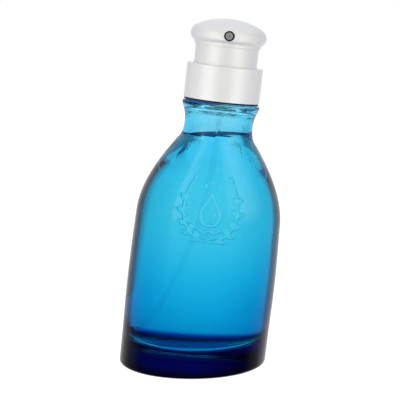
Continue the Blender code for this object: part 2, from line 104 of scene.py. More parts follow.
def bezier(p0, p1, p2, p3, count):
    """Points of a cubic curve after its first point, up to its last."""
    points = []
    for i in range(1, count + 1):
        t = i / count
        s = 1.0 - t
        weights = (s * s * s, 3 * s * s * t, 3 * s * t * t, t * t * t)
        terms = [(w * p[0], w * p[1]) for w, p in zip(weights, (p0, p1, p2, p3))]
        points.append((sum(a for a, _ in terms), sum(b for _, b in terms)))
    return points


def rounded(corners, radii, steps=5):
    """Closed profile with each corner turned into an arc-like curve."""
    points = []
    count = len(corners)
    for i, (corner, radius) in enumerate(zip(corners, radii)):
        here = Vector(corner)
        if radius == 0.0:
            points.append(tuple(here))
            continue
        before = (Vector(corners[i - 1]) - here).normalized()
        after = (Vector(corners[(i + 1) % count]) - here).normalized()
        start = here + before * radius
        end = here + after * radius
        for k in range(steps + 1):
            t = k / steps
            s = 1.0 - t
            points.append(tuple(start * s * s + here * 2 * s * t + end * t * t))
    return points


def revolve(profile, angles, place, closed):
    """Mesh turned from (radius, height) points; returns (bmesh, face rows)."""
    bm = bmesh.new()
    rings = []
    for r, h in profile:
        if r < 1e-7:
            rings.append([bm.verts.new(place(0.0, 0.0, h))])
        else:
            ring = [place(r * math.cos(a), r * math.sin(a), h) for a in angles]
            rings.append([bm.verts.new(p) for p in ring])
    rows = []
    pairs = list(zip(rings, rings[1:]))
    if closed:
        pairs.append((rings[-1], rings[0]))
    for low, high in pairs:
        row = []
        count = max(len(low), len(high))
        if count == 1:
            continue
        for k in range(count):
            n = (k + 1) % count
            if len(low) == 1:
                verts = (low[0], high[n], high[k])
            elif len(high) == 1:
                verts = (low[k], low[n], high[0])
            else:
                verts = (low[k], low[n], high[n], high[k])
            row.append(bm.faces.new(verts))
        rows.append(row)
    bm.normal_update()
    return bm, rows


def even_angles(steps):
    """Angles of one full turn."""
    return [2.0 * math.pi * k / steps for k in range(steps)]


def finish_mesh(name, bm, materials, sharp=40.0):
    """Smooth-shaded object with outward normals, in world coordinates."""
    bmesh.ops.recalc_face_normals(bm, faces=bm.faces)
    mesh = bpy.data.meshes.new(name)
    bm.to_mesh(mesh)
    bm.free()
    mesh.shade_smooth()
    mesh.set_sharp_from_angle(angle=math.radians(sharp))
    for material in materials:
        mesh.materials.append(material)
    obj = bpy.data.objects.new(name, mesh)
    bpy.context.scene.collection.objects.link(obj)
    return obj


def install(obj, body, node):
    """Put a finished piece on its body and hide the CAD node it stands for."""
    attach(obj, body)
    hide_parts(node)
    return obj


def turned(name, profile, material, steps):
    """Piece turned from a closed profile round the leaning axis."""
    bm, _ = revolve(profile, even_angles(steps), axis_point, True)
    return finish_mesh(name, bm, [material])


# ---------------------------------------- glass form

BASE_RADIUS = 26.5 * MM
BASE_EDGE = 1.5 * MM
WALL_TOP = (25.95 * MM, 54.0 * MM)
SHOULDER_END = (14.2 * MM, 80.7 * MM)
WAIST = (12.2 * MM, 87.0 * MM)
LEDGE_RADIUS = 13.8 * MM
LEDGE_BOTTOM = 93.7 * MM
LEDGE_TOP = 94.7 * MM
ROOT_RADIUS = 7.95 * MM
BEAD_RADIUS = 9.0 * MM
BEAD_BOTTOM = 97.0 * MM
GLASS_TOP = span("glass_bottle")[1]
BORE_RADIUS = 6.1 * MM
NECK_INSIDE = 10.2 * MM
INSIDE_RADIUS = 22.9 * MM
FLOOR = 6.0 * MM
DISH_RADIUS = 17.5 * MM
DISH_RISE = 2.6 * MM
FILL_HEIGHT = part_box("aftershave_liquid")[1].z + 0.2 * MM
MENISCUS = 0.55 * MM
LIQUID_GAP = 0.02 * MM


def glass_outside():
    """Outer profile, in named runs, from the centre of the base to the mouth."""
    base = [(0.0, 0.0)]
    for i in range(1, 9):
        base.append(((BASE_RADIUS - BASE_EDGE) * i / 8, 0.0))
    edge = []
    for i in range(1, 9):
        a = math.radians(-90.0 + 90.0 * i / 8)
        r = BASE_RADIUS - BASE_EDGE + BASE_EDGE * math.cos(a)
        edge.append((r, BASE_EDGE + BASE_EDGE * math.sin(a)))
    wall = bezier(edge[-1], (26.58 * MM, 24.2 * MM), (27.13 * MM, 24.0 * MM), WALL_TOP, 30)
    shoulder = bezier(
        WALL_TOP, (25.53 * MM, 61.6 * MM), (21.97 * MM, 69.9 * MM), SHOULDER_END, 24
    )
    neck = bezier(
        SHOULDER_END, (13.53 * MM, 81.6 * MM), (WAIST[0], 82.6 * MM), WAIST, 12
    )
    flare = bezier(
        WAIST,
        (WAIST[0], 90.0 * MM),
        (12.6 * MM, 90.3 * MM),
        (LEDGE_RADIUS, LEDGE_BOTTOM),
        10,
    )
    top = [
        (LEDGE_RADIUS, LEDGE_TOP - 0.6 * MM),
        (LEDGE_RADIUS - 0.08 * MM, LEDGE_TOP - 0.3 * MM),
        (LEDGE_RADIUS - 0.3 * MM, LEDGE_TOP - 0.08 * MM),
        (LEDGE_RADIUS - 0.6 * MM, LEDGE_TOP),
        (ROOT_RADIUS + 0.5 * MM, LEDGE_TOP),
        (ROOT_RADIUS + 0.15 * MM, LEDGE_TOP + 0.15 * MM),
        (ROOT_RADIUS, LEDGE_TOP + 0.5 * MM),
        (ROOT_RADIUS, BEAD_BOTTOM - 0.4 * MM),
        (BEAD_RADIUS - 0.15 * MM, BEAD_BOTTOM + 0.45 * MM),
        (BEAD_RADIUS, BEAD_BOTTOM + 0.7 * MM),
        (BEAD_RADIUS, GLASS_TOP - 0.6 * MM),
        (BEAD_RADIUS - 0.18 * MM, GLASS_TOP - 0.18 * MM),
        (BEAD_RADIUS - 0.6 * MM, GLASS_TOP),
    ]
    return base, edge + wall + shoulder + neck + flare + top


def glass_inside(inset=0.0):
    """Inner profile from the mouth down to the centre of the floor."""
    lip = [
        (BORE_RADIUS + 0.5 * MM, GLASS_TOP),
        (BORE_RADIUS + 0.15 * MM, GLASS_TOP - 0.15 * MM),
        (BORE_RADIUS, GLASS_TOP - 0.5 * MM),
        (BORE_RADIUS, 94.4 * MM),
    ]
    throat = bezier(
        lip[-1],
        (BORE_RADIUS, 93.1 * MM),
        (NECK_INSIDE - 0.3 * MM, 94.0 * MM),
        (NECK_INSIDE, 91.8 * MM),
        16,
    )
    neck = bezier(
        throat[-1],
        (NECK_INSIDE, 86.0 * MM),
        (10.3 * MM, 83.6 * MM),
        (12.0 * MM, 80.9 * MM),
        16,
    )
    shoulder = bezier(
        neck[-1],
        (18.6 * MM, 71.0 * MM),
        (22.2 * MM, 61.0 * MM),
        (22.6 * MM, 53.0 * MM),
        22,
    )
    wall = bezier(
        shoulder[-1],
        (INSIDE_RADIUS, 38.0 * MM),
        (INSIDE_RADIUS, 26.0 * MM),
        (INSIDE_RADIUS, 13.5 * MM),
        18,
    )
    corner = bezier(
        wall[-1],
        (INSIDE_RADIUS, 10.8 * MM),
        (20.7 * MM, 9.55 * MM),
        (DISH_RADIUS, FLOOR + DISH_RISE),
        14,
    )
    dish = []
    for i in range(1, 15):
        share = 1.0 - i / 14
        dish.append((DISH_RADIUS * share, FLOOR + DISH_RISE * share * share))
    side = [(r - inset, h) for r, h in lip + throat + neck + shoulder + wall]
    bottom = [(max(r - inset, 0.0), h + inset) for r, h in corner + dish]
    return side + bottom


# The generic raised motif on the front: a drop between two leafy sprigs.
# Reach and front radius are in mm.
MOTIF_HEIGHT = 59.4 * MM
MOTIF_REACH = 11.2
MOTIF_RELIEF = 0.5 * MM
MOTIF_SCALE = 1.25
FRONT = 1.5 * math.pi
FRONT_REACH = math.radians(26.0)
FRONT_RADIUS = 25.0


def curve_points(p0, p1, p2, p3, count):
    """Points of a cubic curve with its first point."""
    return [p0] + bezier(p0, p1, p2, p3, count)


def stroke(points, u, v, width):
    """1 on a polyline, falling smoothly to 0 at the given half-width."""
    best = np.full(u.shape, 1e9)
    for (ax, ay), (bx, by) in zip(points, points[1:]):
        dx = bx - ax
        dy = by - ay
        t = np.clip(((u - ax) * dx + (v - ay) * dy) / (dx * dx + dy * dy + 1e-12), 0, 1)
        best = np.minimum(best, np.hypot(u - ax - t * dx, v - ay - t * dy))
    return soft(1.0 - best / width)


def soft(x):
    """Smooth step from 0 to 1, a little steeper than its input."""
    x = np.clip(x * 1.35, 0.0, 1.0)
    return x * x * (3.0 - 2.0 * x)


def leaf(x, y, heading, length, width, u, v):
    """Raised pointed leaf with a shallow vein, rooted at (x, y)."""
    c = math.cos(heading)
    s = math.sin(heading)
    along = ((u - x) * c + (v - y) * s) / length
    across = np.abs(-(u - x) * s + (v - y) * c)
    half = width * np.sqrt(np.clip(4.0 * along * (1.0 - along), 0.0, 1.0))
    body = soft((half - across) / width * 1.6)
    vein = 0.45 * soft(1.0 - across / (0.22 * width)) * (along > 0.1) * (along < 0.8)
    return body * (1.0 - vein)


def motif(u, v):
    """Height from 0 to 1 at points u across and v up, in mm from its centre."""
    height = np.zeros(u.shape)
    side = np.abs(u)
    drop = curve_points((0.0, 4.4), (0.5, 2.2), (2.6, 0.9), (2.6, -1.3), 10)
    drop += curve_points((2.6, -1.3), (2.6, -4.6), (0.0, -4.2), (0.0, -4.05), 10)
    height = np.maximum(height, stroke(drop, side, v, 0.62))
    glint = curve_points((1.35, -0.6), (1.45, -2.0), (0.9, -2.7), (0.2, -2.8), 6)
    height = np.maximum(height, 0.8 * stroke(glint, u, v, 0.45))
    stem = curve_points((0.5, -8.6), (5.6, -8.2), (9.6, -1.6), (6.4, 7.2), 24)
    height = np.maximum(height, stroke(stem, side, v, 0.5))
    for k in range(3, 23, 4):
        (ax, ay), (bx, by) = stem[k], stem[k + 1]
        heading = math.atan2(by - ay, bx - ax)
        size = 3.1 - 0.05 * k
        for turn in (0.62, -0.72):
            shape = leaf(ax, ay, heading + turn, size, 0.82, side, v)
            height = np.maximum(height, shape)
    tip = leaf(stem[-1][0], stem[-1][1], 2.1, 2.6, 0.75, side, v)
    height = np.maximum(height, tip)
    for level, reach in ((-5.9, 2.6), (-7.2, 1.7)):
        wave = [(x, level + 0.35 * math.cos(x * 2.4)) for x in np.linspace(0, reach, 9)]
        height = np.maximum(height, stroke(wave, side, v, 0.42))
    for x, y in ((0.0, 7.4), (2.3, 6.4)):
        dot = soft(1.0 - np.hypot(side - x, v - y) / 0.75)
        height = np.maximum(height, dot)
    return height


def front_angles():
    """Angles round the bottle, fine across the motif and coarser elsewhere."""
    low = FRONT - FRONT_REACH
    high = FRONT + FRONT_REACH
    near = np.linspace(low, high, 120, endpoint=False)
    far = np.linspace(high, low + 2.0 * math.pi, 124, endpoint=False)
    return [float(a) for a in np.concatenate((near, far))]


def refine(profile, low, high, step):
    """Insert points between two heights so that none lie further apart."""
    points = [profile[0]]
    for (r0, h0), (r1, h1) in zip(profile, profile[1:]):
        gap = math.hypot(r1 - r0, h1 - h0)
        count = 1
        if h1 > low and h0 < high:
            count = max(1, math.ceil(gap / step))
        for i in range(1, count + 1):
            t = i / count
            points.append((r0 + (r1 - r0) * t, h0 + (h1 - h0) * t))
    return points


def build_glass(materials):
    """Glass body with the motif raised out of its front by moving the surface."""
    reach = MOTIF_REACH * MM
    base, side = glass_outside()
    fine = refine(side, MOTIF_HEIGHT - reach, MOTIF_HEIGHT + reach, 0.24 * MM)
    inside = glass_inside()
    profile = base + fine + inside
    bm, rows = revolve(profile, front_angles(), lean_point, False)
    base_rows = len(base) - 1
    outer_rows = base_rows + len(fine)
    for i, row in enumerate(rows):
        slot = 1 if i < base_rows else 0 if i < outer_rows else 2
        for face in row:
            face.material_index = slot
    raise_motif(bm, outer_rows)
    return finish_mesh("glass_body", bm, materials, sharp=50.0)


def raise_motif(bm, outer_rows):
    """Push the outer vertices under the motif outwards along their normals."""
    layer = bm.verts.layers.float.new("relief")
    bmesh.ops.recalc_face_normals(bm, faces=bm.faces)
    bm.normal_update()
    moved = []
    for vert in bm.verts:
        height = vert.co.dot(AXIS)
        radial = vert.co - AXIS * height
        if abs(height - MOTIF_HEIGHT) > MOTIF_REACH * MM or radial.y > 0.0:
            continue
        if vert.normal.dot(radial) <= 0.0:
            continue
        angle = math.atan2(radial.dot(ACROSS), -radial.y)
        if abs(angle) < FRONT_REACH:
            moved.append((vert, angle * FRONT_RADIUS, (height - MOTIF_HEIGHT) / MM))
    u = np.array([m[1] for m in moved])
    v = np.array([m[2] for m in moved])
    relief = motif(u / MOTIF_SCALE, v / MOTIF_SCALE)
    for (vert, _, _), h in zip(moved, relief):
        vert.co += vert.normal * (float(h) * MOTIF_RELIEF)
        vert[layer] = float(h)


def build_liquid(top_material, side_material):
    """Contents up to the level line, with a small meniscus round the edge."""
    inner = [(r, h) for r, h in glass_inside(LIQUID_GAP) if h < 88.0 * MM]
    bm, _ = revolve([(0.0, inner[0][1])] + inner, even_angles(160), lean_point, False)
    cut = bmesh.ops.bisect_plane(
        bm,
        geom=bm.verts[:] + bm.edges[:] + bm.faces[:],
        plane_co=(0.0, 0.0, FILL_HEIGHT + MENISCUS),
        plane_no=(0.0, 0.0, 1.0),
        clear_outer=True,
    )
    rim = [e for e in cut["geom_cut"] if isinstance(e, bmesh.types.BMEdge)]
    top = bmesh.ops.contextual_create(bm, geom=rim)["faces"]
    for depth, thickness in ((0.55, 0.25), (0.3, 0.45), (0.1, 0.6)):
        bmesh.ops.inset_region(bm, faces=top, thickness=thickness * MM, depth=0.0)
        for vert in {v for f in top for v in f.verts}:
            vert.co.z -= MENISCUS * depth / 0.95
    for face in top:
        face.material_index = 0
    bmesh.ops.recalc_face_normals(bm, faces=bm.faces)
    bm.normal_update()
    level = FILL_HEIGHT - LIQUID_GAP
    for face in bm.faces:
        upward = face.normal.z > 0.2 and face.calc_center_median().z > level
        face.material_index = 0 if upward else 1
    return finish_mesh("liquid_body", bm, [top_material, side_material], sharp=60.0)


# ---------------------------------------- tube, pump


def sweep(path, radius, sides):
    """Rings of points round a path, each square to it."""
    rings = []
    side = Vector((0.0, 1.0, 0.0))
    for i, point in enumerate(path):
        along = (path[min(i + 1, len(path) - 1)] - path[max(i - 1, 0)]).normalized()
        side = (side - along * side.dot(along)).normalized()
        up = along.cross(side)
        ring = []
        for k in range(sides):
            a = 2.0 * math.pi * k / sides
            ring.append(point + (side * math.cos(a) + up * math.sin(a)) * radius)
        rings.append(ring)
    return rings


def skin(bm, rings):
    """Faces between rings of points; returns the rings as vertices."""
    loops = [[bm.verts.new(p) for p in ring] for ring in rings]
    for low, high in zip(loops, loops[1:]):
        for k in range(len(low)):
            n = (k + 1) % len(low)
            bm.faces.new((low[k], low[n], high[n], high[k]))
    return loops


TUBE_TOP = 90.0 * MM
TUBE_LEAVES = 86.8 * MM
TUBE_END = 9.8 * MM
TUBE_RADIUS = 0.8 * MM
TUBE_BORE = 0.5 * MM
TUBE_REACH = 16.0 * MM
TUBE_BEND = 2.3
TUBE_HEADING = math.radians(146.0)


def tube_line(count):
    """Centre line of the dip tube, straight below the pump and bent at its end."""
    points = []
    for i in range(count + 1):
        height = TUBE_END + (TUBE_TOP - TUBE_END) * i / count
        drop = max(TUBE_LEAVES - height, 0.0)
        reach = TUBE_REACH * (drop / (TUBE_LEAVES - TUBE_END)) ** TUBE_BEND
        x = reach * math.cos(TUBE_HEADING)
        points.append(lean_point(x, reach * math.sin(TUBE_HEADING), height))
    return points


def build_tube(material):
    """Dip tube with a bore, cut aslant at its foot."""
    line = tube_line(60)
    outer = sweep(line, TUBE_RADIUS, 24)
    inner = sweep(line, TUBE_BORE, 24)
    for point in outer[0] + inner[0]:
        point.z += 0.35 * MM + 0.45 * (point.x - line[0].x)
    bm = bmesh.new()
    out_loops = skin(bm, outer)
    in_loops = skin(bm, inner)
    for end in (0, -1):
        a = out_loops[end]
        b = in_loops[end]
        for k in range(len(a)):
            n = (k + 1) % len(a)
            bm.faces.new((a[k], a[n], b[n], b[k]))
    return finish_mesh("tube_wall", bm, [material])


def build_spring(name, mean, wire, bottom, top, turns, material):
    """Compression spring with one closed turn at each end."""
    steps = 32
    closed_pitch = 2.2 * wire
    open_pitch = (top - bottom - 2.0 * wire - 2.0 * closed_pitch) / (turns - 2.0)
    path = []
    for i in range(int(turns * steps) + 1):
        now = i / steps
        opened = min(max(now - 1.0, 0.0), turns - 2.0)
        height = bottom + wire + opened * open_pitch + (now - opened) * closed_pitch
        a = 2.0 * math.pi * now
        path.append(axis_point(mean * math.cos(a), mean * math.sin(a), height))
    bm = bmesh.new()
    loops = skin(bm, sweep(path, wire, 10))
    bm.faces.new(reversed(loops[0]))
    bm.faces.new(loops[-1])
    return finish_mesh(name, bm, [material], sharp=75.0)


def build_housing(material):
    """Barrel, flange, ball seat and the tail that holds the tube."""
    bottom, top, _, flange = span("pump_housing")
    corners = [
        (1.0, 86.8, 0.0),
        (1.25, 86.8, 0.2),
        (1.25, 93.2, 0.3),
        (1.7, 93.7, 0.2),
        (1.7, 95.8, 0.2),
        (4.4, 95.8, 0.6),
        (4.4, 101.1, 0.1),
        (8.4, 101.1, 0.1),
        (8.4, 101.7, 0.1),
        (4.4, 101.7, 0.1),
        (4.4, 106.95, 0.3),
        (3.4, 106.95, 0.1),
        (3.4, 96.5, 0.2),
        (0.75, 96.5, 0.05),
        (0.75, 96.2, 0.05),
        (1.2, 96.2, 0.05),
        (1.2, 94.4, 0.1),
        (0.45, 93.65, 0.05),
        (0.45, 90.3, 0.0),
        (1.0, 90.3, 0.0),
    ]
    points = [(r * MM, h * MM) for r, h, _ in corners]
    radii = [soften * MM for _, _, soften in corners]
    points = fit_profile(points, bottom, top, flange)
    profile = rounded(points, radii, 3)
    return turned("pump_barrel", profile, material, 64)


def fit_profile(points, bottom, top, largest):
    """Nudge a profile so that its ends and largest radius match the CAD node."""
    low = min(h for _, h in points)
    high = max(h for _, h in points)
    wide = max(r for r, _ in points)
    scale = (top - bottom) / (high - low)
    return [(r * largest / wide, bottom + (h - low) * scale) for r, h in points]


# ---------------------------------------- metalwork


def build_collar(material):
    """Metal collar: a sleeve with a narrow inward lip at its top."""
    bottom, top, mouth, outer = span("collar_sleeve")
    wall = outer - 0.55 * MM
    corners = [
        (wall, bottom),
        (outer, bottom),
        (outer, top),
        (mouth, top),
        (mouth, top - 0.6 * MM),
        (wall, top - 0.6 * MM),
    ]
    radii = [0.0, 0.2 * MM, 0.32 * MM, 0.15 * MM, 0.0, 0.3 * MM]
    profile = densify(rounded(corners, radii), 1.5 * MM)
    return turned("collar_shell", profile, material, 160)


def build_button_sleeve(material):
    """Plain sleeve under the dome, which slides into the collar."""
    bottom, top, inner, outer = span("button_sleeve")
    corners = [(inner, bottom), (outer, bottom), (outer, top), (inner, top)]
    radii = [0.1 * MM, 0.25 * MM, 0.1 * MM, 0.1 * MM]
    profile = densify(rounded(corners, radii), 1.5 * MM)
    return turned("button_skirt", profile, material, 160)


def densify(profile, step):
    """Split the long straight runs of a closed profile."""
    points = []
    for i, (r0, h0) in enumerate(profile):
        r1, h1 = profile[(i + 1) % len(profile)]
        count = max(1, math.ceil(math.hypot(r1 - r0, h1 - h0) / step))
        for k in range(count):
            t = k / count
            points.append((r0 + (r1 - r0) * t, h0 + (h1 - h0) * t))
    return points


DOME_CURVE = 25.3 * MM
DOME_WALL = 0.8 * MM
RIM_HEIGHT = 118.4 * MM
NOZZLE_HOLE = 1.8 * MM


def dome_cap(top, edge, curve, count):
    """Points of the domed top from a radius near its rim to the axis."""
    start = math.asin(edge / curve)
    points = []
    for i in range(1, count + 1):
        a = start * (1.0 - i / count)
        points.append((curve * math.sin(a), top - curve + curve * math.cos(a)))
    return points


def nozzle_point(x, y, distance):
    """Place a point of a piece turned round the nozzle's axis, towards -Y."""
    centre = AXIS * RIM_HEIGHT
    return centre + ACROSS * x + AXIS * y + Vector((0.0, -distance, 0.0))


def facing_cutter(profile):
    """Closed cutter turned round the nozzle's axis."""
    bm, _ = revolve(profile, even_angles(64), nozzle_point, False)
    return finish_mesh("cutter", bm, [])


def cut(obj, cutter):
    """Apply one exact Boolean difference and remove the cutter."""
    boolean = obj.modifiers.new("cut", "BOOLEAN")
    boolean.operation = "DIFFERENCE"
    boolean.solver = "EXACT"
    boolean.object = cutter
    dg = bpy.context.evaluated_depsgraph_get()
    mesh = bpy.data.meshes.new_from_object(obj.evaluated_get(dg), depsgraph=dg)
    obj.modifiers.clear()
    obj.data = mesh
    bpy.data.objects.remove(cutter)
    obj.data.shade_smooth()
    obj.data.set_sharp_from_angle(angle=math.radians(32.0))
    return obj


def build_dome(material):
    """Domed top with a rolled rim, a short lower collar and the nozzle hole."""
    bottom, top, _, rim = span("button_dome")
    edge = 11.2 * MM
    edge_height = top - DOME_CURVE + math.sqrt(DOME_CURVE**2 - edge**2)
    foot = [(11.5 * MM, bottom), (11.62 * MM, bottom), (11.7 * MM, bottom + 0.08 * MM)]
    start = (11.7 * MM, bottom + 0.4 * MM)
    side = (rim, RIM_HEIGHT)
    under = bezier(start, (11.7 * MM, 116.2 * MM), (rim, 116.3 * MM), side, 14)
    over = bezier(
        side,
        (rim, RIM_HEIGHT + 1.2 * MM),
        (12.63 * MM, 120.93 * MM),
        (edge, edge_height),
        14,
    )
    outside = foot + [start] + under + over + dome_cap(top, edge, DOME_CURVE, 18)
    inner_cap = dome_cap(top - DOME_WALL, 10.9 * MM, DOME_CURVE - DOME_WALL, 10)[::-1]
    inside = inner_cap + [
        (12.2 * MM, 120.3 * MM),
        (rim - DOME_WALL, 119.2 * MM),
        (rim - DOME_WALL, 118.0 * MM),
        (12.2 * MM, 117.2 * MM),
        (11.5 * MM, 116.5 * MM),
    ]
    bm, _ = revolve(outside + inside, even_angles(160), axis_point, True)
    bmesh.ops.remove_doubles(bm, verts=bm.verts, dist=1e-6)
    dome = finish_mesh("button_crown", bm, [material], 32.0)
    window = [
        (0.0, 10.0 * MM),
        (NOZZLE_HOLE, 10.0 * MM),
        (NOZZLE_HOLE, 13.05 * MM),
        (NOZZLE_HOLE + 0.07 * MM, 13.25 * MM),
        (NOZZLE_HOLE + 0.24 * MM, 13.42 * MM),
        (NOZZLE_HOLE + 1.5 * MM, 14.3 * MM),
        (0.0, 14.3 * MM),
    ]
    cut(dome, facing_cutter(window))
    seat = [
        (0.0, 9.0 * MM),
        (2.15 * MM, 9.0 * MM),
        (2.15 * MM, 11.95 * MM),
        (0.0, 11.95 * MM),
    ]
    return cut(dome, facing_cutter(seat))


def build_insert(material):
    """Nozzle insert: ringed face with a dished centre and the orifice."""
    profile = [
        (1.0, 9.3),
        (1.3, 9.3),
        (1.3, 12.28),
        (1.26, 12.37),
        (1.18, 12.4),
        (0.98, 12.4),
        (0.92, 12.34),
        (0.86, 12.22),
        (0.6, 12.2),
        (0.42, 12.12),
        (0.2, 11.98),
        (0.15, 11.9),
        (0.15, 11.5),
        (1.0, 11.5),
    ]
    points = [(r * MM, d * MM) for r, d in profile]
    bm, _ = revolve(points, even_angles(48), nozzle_point, True)
    return finish_mesh("nozzle_face", bm, [material], 30.0)


# ---------------------------------------- materials

# Places of the factor and the two colours on a colour mixing node.
MIX_SOCKETS = (0, 6, 7)
MIX_RESULT = 2


class Nodes:
    """Short calls for building a node tree."""

    def __init__(self, tree):
        self.tree = tree

    def link(self, source, target):
        self.tree.links.new(source, target)

    def feed(self, socket, value):
        """Link a socket to another one, or give it a number or an RGB colour."""
        if isinstance(value, bpy.types.NodeSocket):
            self.link(value, socket)
        elif isinstance(value, tuple):
            socket.default_value = (*value, 1.0)
        else:
            socket.default_value = value

    def fill(self, node, inputs):
        """Feed inputs by name, written with underscores for spaces."""
        for key, value in inputs.items():
            self.feed(node.inputs[key.replace("_", " ")], value)

    def add(self, kind, **inputs):
        node = self.tree.nodes.new("ShaderNode" + kind)
        self.fill(node, inputs)
        return node

    def math(self, operation, a, b=0.0, c=0.0):
        node = self.add("Math")
        node.operation = operation
        for socket, value in zip(node.inputs, (a, b, c)):
            self.feed(socket, value)
        return node.outputs[0]

    def axis(self, source, letter):
        """One coordinate of a vector."""
        split = self.add("SeparateXYZ")
        self.link(source, split.inputs[0])
        return split.outputs[letter]

    def geometry(self, output):
        return self.add("NewGeometry").outputs[output]

    def path(self, output):
        return self.add("LightPath").outputs[output]

    def ramp(self, source, stops):
        """Colours at places from 0 to 1, blended in between."""
        node = self.add("ValToRGB", Fac=source)
        elements = node.color_ramp.elements
        while len(elements) < len(stops):
            elements.new(1.0)
        for element, (place, colour) in zip(elements, stops):
            element.position = place
            element.color = (*colour, 1.0)
        return node.outputs["Color"]

    def mix(self, share, a, b, blend="MIX"):
        """Colour a turning into colour b as share goes to 1."""
        node = self.add("Mix")
        node.data_type = "RGBA"
        node.blend_type = blend
        for place, value in zip(MIX_SOCKETS, (share, a, b)):
            self.feed(node.inputs[place], value)
        return node.outputs[MIX_RESULT]

    def multiply(self, a, b, share=1.0):
        """Colour a times colour b, as far as share says."""
        return self.mix(share, a, b, "MULTIPLY")

    def span(self, source, low, high, a=0.0, b=1.0):
        """Map source from low..high to a..b, held at the ends."""
        limits = {"From_Min": low, "From_Max": high, "To_Min": a, "To_Max": b}
        return self.add("MapRange", Value=source, **limits).outputs["Result"]


class Paint(Nodes):
    """One material's node tree, round its main shader."""

    def __init__(self, name):
        self.material = bpy.data.materials.new(name)
        self.material.use_nodes = True
        super().__init__(self.material.node_tree)
        self.principled = self.tree.nodes["Principled BSDF"]
        self.shader = self.principled.outputs[0]
        self.output = self.tree.nodes["Material Output"]

    def set(self, **inputs):
        self.fill(self.principled, inputs)

    def glassy(self, colour, ior):
        self.set(Base_Color=colour, Transmission_Weight=1.0, IOR=ior)

    def surface(self, shader):
        self.link(shader, self.output.inputs["Surface"])

    def blend(self, share, a, b):
        """Shader a turning into shader b as share goes to 1."""
        node = self.add("MixShader")
        for socket, value in zip(node.inputs, (share, a, b)):
            self.feed(socket, value)
        return node.outputs[0]

    def clear(self, colour=(1.0, 1.0, 1.0)):
        """Shader that lets light straight through."""
        return self.add("BsdfTransparent", Color=colour).outputs[0]

    def position(self):
        return self.add("TexCoord").outputs["Object"]

    def height(self):
        """Height above the floor, on a piece that stands still."""
        return self.axis(self.position(), "Z")

    def facing(self):
        return self.add("LayerWeight", Blend=0.5).outputs["Facing"]

    def noise(self, scale, detail=3.0, roughness=0.5):
        inputs = {"Scale": scale, "Detail": detail, "Roughness": roughness}
        node = self.add("TexNoise", Vector=self.position(), **inputs)
        return node.outputs["Fac"]

    def mottle(self, source, low, high):
        """Colour wandering between two tones with a noise."""
        return self.ramp(source, [(0.3, low), (0.7, high)])

    def bump(self, height, strength, distance):
        inputs = {"Strength": strength, "Distance": distance}
        return self.add("Bump", Height=height, **inputs).outputs["Normal"]


def grey(value):
    return (value, value, value)


def satin_silver(name, tone, rough):
    """Bead-blasted anodised metal: fine grain, soft blotches, faint handling, and a painted cool
    reflection along its grazing edges.
    """
    n = Paint(name)
    grain = n.noise(5200.0, 2.0, 0.6)
    cloud = n.noise(260.0, 4.0, 0.55)
    dull = (tone * 0.93, tone * 0.935, tone * 0.95)
    bright = (tone, tone * 0.995, tone * 0.985)
    colour = n.mix(n.span(cloud, 0.3, 0.7, 0.96, 1.0), dull, bright)
    # Painted reflection: grazing edges are tinted a little blue, as if mirroring cool
    # surroundings.
    edge_reflection_tint = n.ramp(n.facing(), [(0.2, (1.0, 1.0, 1.0)), (0.75, (0.97, 0.99, 1.05))])
    n.set(Base_Color=n.multiply(colour, edge_reflection_tint), Metallic=0.96)
    both = n.math("ADD", grain, cloud)
    n.set(Roughness=n.span(both, 0.7, 1.3, rough - 0.04, rough + 0.05))
    n.set(Normal=n.bump(grain, 0.10, 0.00004))
    return n.material


def polymer(name, colour, rough):
    """Moulded plastic with a faint flow pattern and fine texture."""
    n = Paint(name)
    flow = n.noise(320.0)
    low = tuple(c * 0.93 for c in colour)
    n.set(Base_Color=n.mottle(flow, low, colour), IOR=1.49)
    n.set(Roughness=n.span(flow, 0.3, 0.7, rough - 0.05, rough + 0.07))
    n.set(Normal=n.bump(n.noise(2600.0, 2.0), 0.12, 0.00003))
    return n.material


def clear_plastic(name):
    """Nearly clear moulding: it shows by its outlines and a faint flow pattern."""
    n = Paint(name)
    flow = n.noise(320.0)
    n.glassy(n.mottle(flow, (0.90, 0.95, 0.96), (0.97, 0.99, 1.0)), 1.2)
    n.set(Roughness=n.span(flow, 0.3, 0.7, 0.0, 0.04))
    n.set(Normal=n.bump(flow, 0.04, 0.00005))
    let_light_in(n, (0.95, 0.98, 0.99))
    return n.material


# Strength of the painted glow on parts seen through the glass.
PAINTED_GLOW_STRENGTH = 1.3


def painted_neck_glow(n, share):
    """Painted glow: seen through the glass, share of the surface glows white, standing in for
    the light in the neck.
    """
    painted_glow = n.add("Emission", Color=(1.0, 1.0, 1.0), Strength=PAINTED_GLOW_STRENGTH).outputs[0]
    through = n.math("MULTIPLY", n.path("Is Transmission Ray"), share)
    n.surface(n.blend(through, n.shader, painted_glow))


def liner_plastic():
    """Dark moulding whose underside, where it faces the glass, is painted pale and glows through
    it: painted light, as if lit from below.
    """
    n = Paint("liner_polymer")
    flow = n.noise(320.0)
    down = n.add("VectorMath")
    down.operation = "DOT_PRODUCT"
    n.link(n.geometry("Normal"), down.inputs[0])
    down.inputs[1].default_value = -AXIS
    # Painted light: the faces that turn down towards the glass are made pale.
    shade = n.math("MULTIPLY_ADD", flow, 0.1, down.outputs["Value"])
    painted_lit_underside = n.math("GREATER_THAN", shade, 0.6)
    tones = [(0.0, (0.004, 0.006, 0.02)), (1.0, (0.62, 0.72, 0.8))]
    n.set(Base_Color=n.ramp(painted_lit_underside, tones))
    n.set(Roughness=n.span(flow, 0.3, 0.7, 0.35, 0.5))
    n.set(Normal=n.bump(n.noise(2600.0, 2.0), 0.08, 0.00003))
    painted_neck_glow(n, painted_lit_underside)
    return n.material


